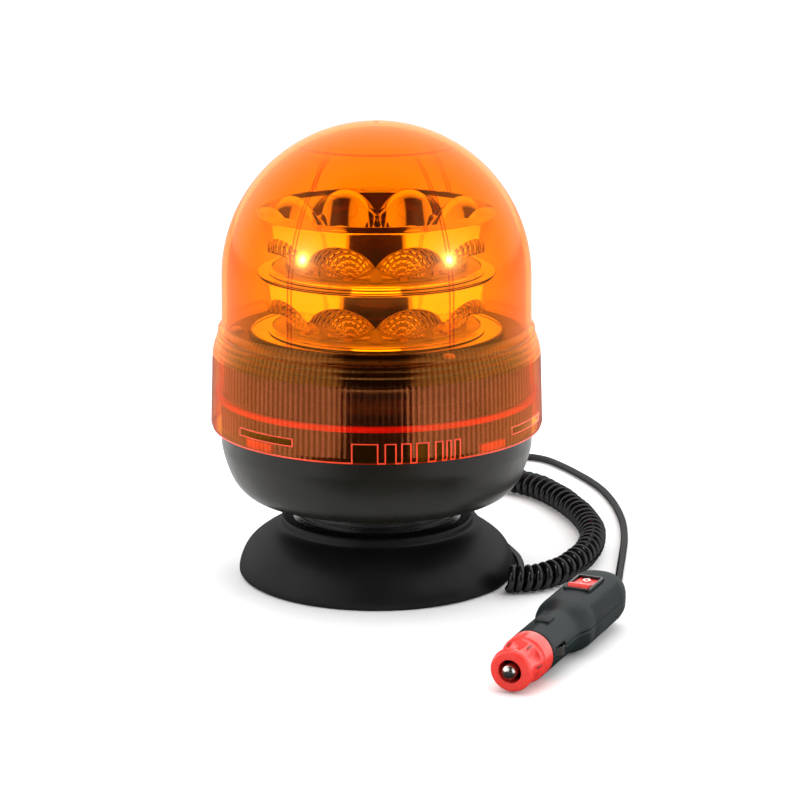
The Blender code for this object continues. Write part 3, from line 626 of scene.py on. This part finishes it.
def light_unit():
    turned("dish", [(61.3, 121.1), (61.3, 119.3), (6, 119.3), (6, 120.3), (59.8, 120.3),
                    (60.1, 121.1)], DISH, fillet=0.15, columns=216, cad="lower_dish")
    turned("dish_rim", [(61.35, 121.2), (61.35, 119.5), (61.1, 119.5), (61.1, 121.0), (59.9, 121.0),
                        (59.9, 121.2)], BLACK, fillet=0.0, columns=216)
    for cad, z in (("lower_led_board", 120.7), ("upper_led_board", 149.4)):
        turned(cad + "_fine", [(49.6, z + 1.6), (49.6, z), (6, z), (6, z + 1.6)], BOARD,
               fillet=0.1, cad=cad)
    leds("lower_led_ring", 122.6, "lower_leds")
    leds("upper_led_ring", 151.3, "upper_leds")
    reflector("lower_niches", 120.7, 26.9, False, "lower_reflector")
    reflector("upper_niches", 149.4, 30.1, True, "upper_reflector")
    turned("post", [(14, 147.6), (14, 122.6), (6, 122.6), (6, 147.6)], ALUMINIUM,
           fillet=0.5, cad="heat_post")
    turned("plate", [(56.9, 149.1), (56.0, 148.0), (6, 148.0), (6, 149.1)], DISH,
           fillet=0.1, columns=216, cad="upper_plate")
    turned("plate_rim", [(57.15, 149.0), (57.15, 148.7), (56.7, 148.7), (56.7, 149.0)], BLACK,
           fillet=0.1, columns=216)
    turned("nut_and_washer", [(4.6, 156.6), (4.6, 152.8), (9.0, 152.8), (9.0, 151.3),
                              (2.8, 151.3), (2.8, 156.6)], STEEL, fillet=0.25,
           columns=96, shape=lambda a, r, z: hexagon(a, r, 4.0) if z > 153 else r, cad="rod_nut")
    thread = [(0, 158), (2.1, 158)]
    for k in range(9):
        thread += [(2.45, 157.6 - 0.5 * k), (2.15, 157.35 - 0.5 * k)]
    turned("rod", thread + [(2.5, 153), (2.5, 116), (8.5, 116), (8.5, 113.4), (0, 113.4)], STEEL,
           closed=False, fillet=0, columns=36, cad="tie_rod")


# ------------------------------------------------------------------ lens

DOME_R, DOME_IN, DOME_Z = 74, 71.2, 146.0
SKIRT_TOP, SKIRT_R = 110, 78.78
FLUTES, SKIRT_COLUMNS = 180, 720
# clear windows in the skirt: degrees round from its front, from and to, then low and high
WINDOWS = [(-53, -28.5, 80.0, 84.2), (-8, 0.9, 74, 83.8), (3.0, 6.8, 74, 83.8),
           (8.5, 12.2, 74, 83.8), (13.3, 18.2, 74, 84), (20.0, 22.8, 74, 84),
           (23.8, 25.8, 74, 84.2), (27.0, 29.3, 74, 84.2), (52.5, 76, 80, 84.2),
           (127, 151.5, 80.0, 84.2), (172, 188, 74, 83.8), (232.5, 256, 80, 84.2)]


def skirt_look(turn, height):
    """0 in the amber, 1 in a window, 2 on a window's rim or the skirt's lower edge."""
    kind = 2 if height < 75.0 else 0
    for a, b, low, high in WINDOWS:
        in_turn, wide = (turn - a) % 360, b - a
        if in_turn < wide and low < height < high:
            clear = 0.5 < in_turn < wide - 0.5 and height < high - 0.5
            kind = 1 if clear and (low + 0.5 < height or low < 75) else 2
    return kind


def skirt():
    heights = [SKIRT_TOP, 109.7, 109.3, 108.6] + [108 - k for k in range(23)]
    heights += [85 - 0.5 * k for k in range(20)] + [75, 74.5, 74.2]
    verts, faces, looks = [], [], []
    for z in heights:
        share = min(1, max(0, (110 - z) / 1.2)) * min(1, max(0, (z - 74.4) / 1.6))
        lobe = 0.10 * math.exp(-((z - 109.2) / 0.5) ** 2) + 0.08 * math.exp(-((z - 76) / 0.5) ** 2)
        base = SKIRT_R + 1.1 * (110 - z) / 33.5 if z > 76.5 else 79.9 - 0.3 * (76.5 - z)
        for k in range(SKIRT_COLUMNS):
            wave = math.sin(math.tau * FLUTES * k / SKIRT_COLUMNS + 0.4)
            r = base - 0.05 + (0.045 * share + lobe) * wave - lobe
            a = math.tau * k / SKIRT_COLUMNS
            verts.append((r * math.cos(a), r * math.sin(a), z))
    for row, (z, z_low) in enumerate(zip(heights, heights[1:])):
        up, low = row * SKIRT_COLUMNS, (row + 1) * SKIRT_COLUMNS
        for k in range(SKIRT_COLUMNS):
            j = (k + 1) % SKIRT_COLUMNS
            faces.append([up + k, low + k, low + j, up + j])
            looks.append(skirt_look((360 * (k + 0.5) / SKIRT_COLUMNS + 90) % 360, (z + z_low) / 2))
    put("skirt", verts, faces, [AMBER_SKIRT, AMBER_WINDOW, AMBER_RIM], "lens",
        parts=looks, angle=60)


def lens():
    outside = [(0, 219.35), (0.9, 219.35), (1.3, 219.98)]
    for k in range(1, 61):
        a = math.radians(1.0 + 89 * k / 60)
        r, z = DOME_R * math.sin(a), DOME_Z + DOME_R * math.cos(a)
        if 35.4 < r < 36.6:    # a fine step just above the moulded ring
            r, z = r - 0.05, z - 0.1
        outside.append((r, z))
    outside += [(74.05, 138), (74.15, 130), (74.3, 124.4)]
    turned("dome", outside, AMBER, "lens", False, 240, 0.0, angle=28, cad="lens_dome")
    turned("dome_shoulder", [
        (74.3, 124.4), (74.6, 123.8), (75.4, 123.0), (75.9, 122.2), (76.0, 121.2), (75.9, 120.0),
        (75.6, 119.4), (75.65, 119.1), (76.2, 118.8), (76.8, 117.9), (76.95, 117.0), (76.8, 116.3),
        (77.0, 116.0), (77.6, 115.3), (77.9, 114.4), (77.8, 113.6), (77.9, 113.2), (78.35, 112.5),
        (78.6, 111.4), (SKIRT_R, SKIRT_TOP)], AMBER_SHOULDER, "lens", False, 240, 0.0,
           angle=50)
    inside = [(DOME_IN * math.sin(math.radians(a)), DOME_Z + DOME_IN * math.cos(math.radians(a)))
              for a in range(0, 91, 2)]
    inside += [(71.4, 130), (71.6, 124), (72.9, 119.5), (73.7, 114), (75.4, 108.5), (75.8, 91.3),
               (77.6, 91.3), (77.6, 74.4)]
    turned("dome_inside", inside, AMBER_IN, "lens", False, 180, 0.0, angle=28)
    skirt()
    turned("skirt_foot", [(79.2, 74.25), (77.6, 74.2)], AMBER_RIM, "lens", False,
           240, 0.0)
    verts, faces = [], []
    for k in range(4):
        arc_block(verts, faces, 75.5, 77.6, 74.6, 78.6, 45 + 90 * k, 12)
    put("lens_tabs", verts, faces, AMBER_RIM, "lens")


# ------------------------------------------------------------------ plug

# the shell's sections: x, half its width, half its height, and how square it is
STATIONS = [(0, 10.2, 9.2, 2.4), (0.5, 11.3, 10.3, 2.4), (1.5, 12.2, 11.1, 2.5),
            (3.5, 12.9, 11.6, 2.6), (8, 13.5, 12.0, 2.6), (44, 13.5, 12.0, 2.6),
            (47.5, 13.35, 11.95, 2.5), (50.5, 12.8, 11.65, 2.4), (53, 11.9, 11.3, 2.25),
            (55, 11.1, 10.9, 2.1), (57, 10.65, 10.6, 2.0), (59, 10.5, 10.5, 2.0),
            (85.2, 10.5, 10.5, 2.0), (85.6, 10.2, 10.2, 2.0)]


def station(x):
    for a, b in zip(STATIONS, STATIONS[1:]):
        if x <= b[0]:
            t = (x - a[0]) / (b[0] - a[0])
            return [p + (q - p) * t for p, q in zip(a[1:], b[1:])]
    return list(STATIONS[-1][1:])


SWITCH_FROM, SWITCH_TO = 13.9, 33.1      # the switch's opening in the top shell
CONTACT_FROM, CONTACT_TO = 71.4, 82.6    # the side contacts' openings


def half_shell(name, side, cad):
    xs = [0, 0.25, 0.5, 1, 1.5, 2.5, 3.5, 5]
    xs += [6 + 0.35 * k for k in range(110)] + [44.6 + k for k in range(15)]
    xs += [60, 64, 68, CONTACT_FROM, 71.41, 75, 79, 82.59, CONTACT_TO, 84, 85.2, 85.4, 85.6]
    xs = sorted(set(xs + [SWITCH_FROM, SWITCH_TO]))
    verts, faces, rings = [], [], []
    for x in xs:
        w, h, n = station(x)
        grip = min(1, max(0, (x - 6) / 3)) * min(1, max(0, (45 - x) / 3))
        knots = [0.0, math.asin(min(1, (2.5 / h) ** (n / 2))),
                 math.acos(min(1, (6.5 / w) ** (n / 2)))]
        knots += [math.pi - knots[2], math.pi - knots[1], math.pi]
        ring = []
        for (lo, hi), count in zip(zip(knots, knots[1:]), (4, 14, 12, 14, 4)):
            for k in range(count + (hi == math.pi)):
                a = lo + (hi - lo) * k / count
                c, s = math.cos(a), math.sin(a)
                y = math.copysign(w * abs(c) ** (2 / n), c)
                z = (h - 0.15) * abs(s) ** (2 / n) + 0.15
                flank = min(1.0, max(0.0, (abs(y) - 0.70 * w) / (0.14 * w)))
                rib = 0.42 * grip * flank * (0.5 - 0.5 * math.cos(math.tau * x / 2.1)) ** 0.8
                length = math.hypot(y, z)
                ring.append(len(verts))
                verts.append((x, y * (1 - rib / length), side * z * (1 - rib / length)))
        rings.append(ring)
    for i, (one, two) in enumerate(zip(rings, rings[1:])):
        middle = (xs[i] + xs[i + 1]) / 2
        for k in range(len(one) - 1):
            if side > 0 and SWITCH_FROM < middle < SWITCH_TO and 18 <= k < 30:
                continue
            if CONTACT_FROM + 0.005 < middle < CONTACT_TO - 0.005 and (k < 4 or k >= 44):
                continue
            faces.append([one[k], one[k + 1], two[k + 1], two[k]])
    faces.append(rings[0][::-1])
    piece = put(name, verts, faces, SLATE, "base", at=PLUG_AT, angle=40, cad=cad)
    wall = piece.modifiers.new("wall", "SOLIDIFY")
    wall.thickness = 1.2 * MM
    wall.offset = -side
    return piece


BOX_FACES = [(0, 1, 3, 2), (4, 6, 7, 5), (0, 4, 5, 1), (2, 3, 7, 6), (0, 2, 6, 4), (1, 5, 7, 3)]


def soften(obj, width, steps):
    bevel = obj.modifiers.new("bevel", "BEVEL")
    bevel.width = width * MM
    bevel.segments = steps
    return bevel


def slabs(name, boxes, look, body, soft=0.3, steps=3, at=PLUG_AT, turns=None, cad=None):
    """Boxes with rounded edges in one piece; each is (x0, x1, y0, y1, z0, z1)."""
    verts, faces = [], []
    for n, (x0, x1, y0, y1, z0, z1) in enumerate(boxes):
        turn = turns[n] if turns else Matrix.Identity(3)
        faces += [[i + len(verts) for i in face] for face in BOX_FACES]
        verts += [turn @ Vector((x, y, z)) for x in (x0, x1) for y in (y0, y1) for z in (z0, z1)]
    obj = put(name, verts, faces, look, body, at=at, cad=cad)
    soften(obj, soft, steps)
    return obj


def outline_prism(name, points, y0, y1, look, body, soft=0.3, cad=None):
    """An (x, z) outline with a thickness along Y, its edges rounded, in the plug's frame."""
    count = len(points)
    verts = [(x, y, z) for y in (y0, y1) for x, z in points]
    faces = [list(range(count))[::-1], list(range(count, 2 * count))]
    faces += [[i, (i + 1) % count, (i + 1) % count + count, i + count] for i in range(count)]
    obj = put(name, verts, faces, look, body, at=PLUG_AT, angle=30, cad=cad)
    soften(obj, soft, 3).limit_method = "ANGLE"
    return obj


def on_plug(name, outline, look, body, closed=True, columns=96, fillet=0.3, shape=None,
            cad=None):
    return turned(name, outline, look, body, closed, columns, fillet,
                  PLUG_AT @ Matrix.Rotation(math.pi / 2, 4, "Y"), shape, cad=cad)


FLUTE_FROM, FLUTE_TO, FLUTE_R, FLUTE_OUT = 96.6, 106.8, 5.2, 12.9


def flute(a, r, x):
    """The nose's six flutes, round cuts that fade out towards its collar and its end."""
    if r < 8 or not FLUTE_FROM < x < FLUTE_TO:
        return r
    away = (a + math.pi / 6) % (math.pi / 3) - math.pi / 6
    inside = FLUTE_R ** 2 - (FLUTE_OUT * math.sin(away)) ** 2
    if inside <= 0:
        return r
    near = FLUTE_OUT * math.cos(away) - math.sqrt(inside)
    share = min(1.0, max(0.0, (x - FLUTE_FROM) / 1.6)) * min(1.0, (FLUTE_TO - x) / 1.4)
    return r + (min(r, near) - r) * share * share * (3 - 2 * share)


ROCKER_X, ROCKER_Z, ROCKER_R, ROCKER_DIP = 23.5, 10.2, 7.9, 1.9


def round_end(start, stop):
    return [(ROCKER_R * math.cos(math.radians(a)), ROCKER_R * math.sin(math.radians(a)))
            for a in range(start, stop, -5)]


def contact(sign, name, body, cad):
    """A bowed strip that stands out of the barrel's side."""
    bow = [(69.2, 8.1), (72, 8.1)]
    bow += [(77 + 5 * t, 8.1 + 4.0 * math.cos(t * math.pi / 2) ** 2)
            for t in [-1 + k / 12 for k in range(25)]][1:-1] + [(82, 8.1), (84.8, 8.1)]
    outline = [(x, sign * y) for x, y in bow + [(x, y - 0.5) for x, y in bow[::-1]]]
    count = len(outline)
    verts = [(x, y, z) for z in (-1.9, 1.9) for x, y in outline]
    faces = [[i, i + 1, i + 1 + count, i + count] for i in range(count - 1)]
    faces.append([count - 1, 0, count, 2 * count - 1])
    for low in (0, count):
        faces += [[low + i, low + i + 1, low + count - 2 - i, low + count - 1 - i]
                  for i in range(count // 2 - 1)]
    return put(name, verts, faces, NICKEL, body, at=PLUG_AT, angle=40, cad=cad)


def plug():
    top = round_end(200, 169) + [(0, ROCKER_DIP)] + round_end(30, -21)
    pieces = [
        half_shell("shell_top", 1, "plug_shell_top"),
        half_shell("shell_bottom", -1, "plug_shell_bottom"),
        slabs("barrel_mark", [(66.8, 74.2, -3.4, 3.4, 9.0, 11.3)], SLATE, "base",
              0.5),
        slabs("barrel_mark_inner", [(68.6, 72.4, -1.6, 1.6, 11.0, 11.4)], SLATE, "base",
              0.2),
        slabs("bezel", [(14.0, 15.3, -6.2, 6.2, 3, 12.8), (31.7, 33.0, -6.2, 6.2, 3, 12.8),
                        (14.0, 33.0, 5.25, 6.2, 3, 12.8), (14.0, 33.0, -6.2, -5.25, 3, 12.8),
                        (14.4, 32.6, -5.9, 5.9, 3.1, 4.0)], PLUG_DARK, "base",
              0.3, cad="switch_bezel"),
        outline_prism("rocker_cap", [(ROCKER_X + x, ROCKER_Z + z) for x, z in top], -4.9, 4.9,
                      PLUG_RED, "rocker_switch", 0.35, cad="rocker")]
    # the round mark on the rear slope, and the bar on the slope towards the nose
    for spot, slope in ((-3.9, -math.atan2(1.9 - 1.372, 7.78)), (3.6, math.atan2(2.05, 6.84))):
        z = ROCKER_Z + ROCKER_DIP + spot * math.tan(slope)
        at = (PLUG_AT @ Matrix.Translation(((ROCKER_X + spot) * MM, 0, z * MM))
              @ Matrix.Rotation(-slope, 4, "Y"))
        if spot < 0:
            ring = [(1.75, 0.06), (1.75, -0.2), (1.05, -0.2), (1.05, 0.06)]
            pieces.append(turned("rocker_mark_round", ring, WHITE_MARK, "rocker_switch",
                                 True, 48, 0.05, at))
        else:
            pieces.append(slabs("rocker_mark_bar", [(-1.5, 1.5, -0.32, 0.32, -0.2, 0.06)],
                                WHITE_MARK, "rocker_switch", 0.08, 2, at))
    return pieces + [
        on_plug("grommet", [(1.9, 5.0), (4.2, 5.0), (4.2, 3.3), (2.5, 3.3), (2.5, -0.3),
                            (3.8, -0.3), (3.6, -1.9), (3.0, -2.1), (3.0, -2.6), (3.35, -2.8),
                            (3.1, -4.4), (2.6, -4.6), (2.6, -5.1), (2.9, -5.3), (2.4, -8.0),
                            (1.9, -8.0)],
                RUBBER, "base", True, 64, 0.2, cad="plug_grommet"),
        on_plug("nose", [(10.0, 94.6), (10.45, 94.2), (10.45, 86.0), (6.5, 86.0), (6.5, 104),
                         (5.2, 104), (5.2, 109.9), (8.3, 109.9), (9.1, 109.2), (9.5, 107.8),
                         (9.55, 106.6), (9.3, 105.6), (8.9, 104.8), (8.7, 104), (8.8, 102),
                         (9.1, 100), (9.4, 98.6), (9.6, 97.4), (9.6, 96.6), (9.6, 95.6)],
                PLUG_RED, "nose_adapter", True, 240, 0.35, flute,
                cad="adapter_nose"),
        slabs("nose_slots", [(96.4, 101.6, -0.28, 0.28, 9.35, 9.64)] * 6, PLUG_DARK,
              "nose_adapter", 0.1, 2,
              turns=[Matrix.Rotation(math.tau * (k + 0.5) / 6, 3, "X") for k in range(6)]),
        on_plug("pin", [(0, 112.6), (1.2, 112.5), (2.4, 111.9), (3.1, 111.0), (3.4, 109.5),
                        (3.4, 97.3), (4.7, 97.3), (4.7, 95.8), (2.6, 95.8), (2.6, 91.0),
                        (0, 91.0)],
                NICKEL, "tip_pin", False, 64, 0.3, cad="centre_pin"),
        contact(1, "contact_left", "left_contact", "side_contact_left"),
        contact(-1, "contact_right", "right_contact", "side_contact_right")]


# ------------------------------------------------------------------ carried-over CAD pieces

CARRIED = {
    STEEL: ("magnet_pot", "pole_core", "foot_bolt", "foot_nut", "deck_screw_1", "deck_screw_2",
            "deck_screw_3", "board_screw_1", "board_screw_2", "board_screw_3", "pin_spring"),
    FERRITE: ("ring_magnet",),
    GREEN: ("driver_board", "terminal_block"),
    COPPER: ("choke",),
    CORD: ("inner_lead",),
    WIRE_RED: ("harness_red",),
    BLACK: ("board_carrier", "capacitor_1", "capacitor_2", "driver_chip", "gland_lock_nut",
            "plug_core", "harness_black"),
    GLASS_TUBE: ("plug_fuse",),
}


# ------------------------------------------------------------------ studio

def sheet(name, corners, faces, look):
    mesh = bpy.data.meshes.new(name)
    mesh.from_pydata(corners, [], faces)
    mesh.materials.append(look)
    obj = add(name, mesh)
    return obj


def lamp(name, spot, aim, size, power, colour=(1, 1, 1), only=None, spread=180):
    """An area lamp, in metres and degrees; only is the collection it lights, else everything."""
    light = bpy.data.lights.new(name, "AREA")
    light.shape = "RECTANGLE"
    light.size, light.size_y = size
    light.energy = power
    light.color = colour
    light.spread = math.radians(spread)
    obj = add(name, light)
    obj.location = spot
    obj.rotation_euler = (Vector(aim) - Vector(spot)).to_track_quat("-Z", "Y").to_euler()
    obj.visible_camera = False
    if only:
        obj.light_linking.receiver_collection = only
    else:
        obj.visible_glossy = False


def group(name, *pieces):
    made = bpy.data.collections.new(name)
    for piece in pieces:
        made.objects.link(bpy.data.objects[piece])
    return made


def sky():
    """A world that is white to the camera, and to the rest bright behind and at the sides, with
    a dark strip before the beacon and over it."""
    look = Look("studio", "worlds", "Generated")

    def ease(value, *ends):
        return look.span(value, *ends, curve="SMOOTHSTEP")

    split = look.node("ShaderNodeSeparateXYZ", {0: look.place})
    across, y = look.math("ABSOLUTE", split.outputs[0]), split.outputs[1]
    wide = look.math("MAXIMUM", ease(across, 0.36, 0.46), ease(y, -0.12, 0.12))
    sides = look.math("MAXIMUM", ease(across, 0.3, 0.95, 1.0, 1.7), ease(y, 0.0, 0.6, 1.0, 2.3))
    glow = look.math("MULTIPLY_ADD", look.math("MULTIPLY", wide, sides), 0.97, 0.03)
    camera_ray = look.node("ShaderNodeLightPath").outputs["Is Camera Ray"]
    seen = look.math("MAXIMUM", glow, camera_ray)
    limit = look.math("SUBTRACT", 3.0, look.math("MULTIPLY", camera_ray, 2.0))
    light = look.node("ShaderNodeBackground",
                      {0: (1, 1, 1, 1), 1: look.math("MINIMUM", seen, limit)})
    bpy.context.scene.world = look.done(light, "ShaderNodeOutputWorld")


def stage():
    """A pale floor, soft boxes, and lamps that only some pieces see."""
    white = finish("studio_floor", (0.86, 0.86, 0.86), 0.9, spread=0.01)
    sheet("floor", [(x, y, -0.0002) for x, y in ((-20, -20), (20, -20), (20, 20), (-20, 20))],
          [(0, 1, 2, 3)], white)
    # only reflections see this card: the floor before the beacon is dark in them
    dark = finish("dark_card", (0.008, 0.008, 0.008), 0.9)
    left = [(-0.13, -0.12), (-0.145, -0.25), (-0.147, -0.385), (-0.20, -0.52), (-0.36, -0.9)]
    card = sheet("dark_card", [(x, y, 0.0004) for x, y in left + [(-x, y) for x, y in left]],
                 [(k, k + 1, k + 6, k + 5) for k in range(4)], dark)
    card.visible_camera = False
    card.visible_diffuse = False
    card.visible_shadow = False

    feet = ("lower_niches_foot", "upper_niches_foot", "plate", "dish")
    inner = group("light_unit", *feet, "lower_niches", "upper_niches", "lower_niches_lip",
                  "upper_niches_lip", "lower_led_ring", "upper_led_ring")
    centre, warm = (0, 0, 0.1), (1.0, 0.95, 0.85)
    outer = group("outer_dome", "dome")
    lamp("box_left", (-1.5, -0.9, 1.0), centre, (1.0, 1.6), 8)
    lamp("box_right", (1.5, -0.9, 1.0), centre, (1.0, 1.6), 8)
    lamp("box_top", (0.0, -0.2, 2.2), centre, (2.2, 2.2), 30)
    for side in (-1, 1):
        # the light unit's mirrors also see bright sheets on the floor
        lamp("sheet", (0.585 * side, -0.25, 0.002), (0.585 * side, -0.2501, 1), (0.85, 1.0), 6,
             warm, inner)
        lamp("glare", (0.765 * side, -0.519, 0.419), (0.033 * side, -0.063, 0.166),
             (0.06, 0.06), 0.025, warm, outer, 6)
    lamp("far_sheet", (0, -1.55, 0.002), (0, -1.5501, 1), (1.2, 1.2), 14, warm, inner)
    lamp("glint", (-0.4, -0.5, 1.1), (0.1, 0.05, 0), (0.5, 0.5), 6,
         only=group("cord_only", "cord"))
    lamp("front_sheet", (0, -1.7, 0.55), centre, (1.6, 0.9), 30, warm,
         group("mirror_feet", *feet))
    sky()


# ------------------------------------------------------------------ the whole

CORD_OBJECT, CORD_LENGTH = cord()
foot()
NUT, SLEEVE = housing()
light_unit()
lens()
PLUG_PIECES = plug()
for look, names in CARRIED.items():
    for node in names:
        nodes[node].data.materials.clear()
        nodes[node].data.materials.append(look)
stage()
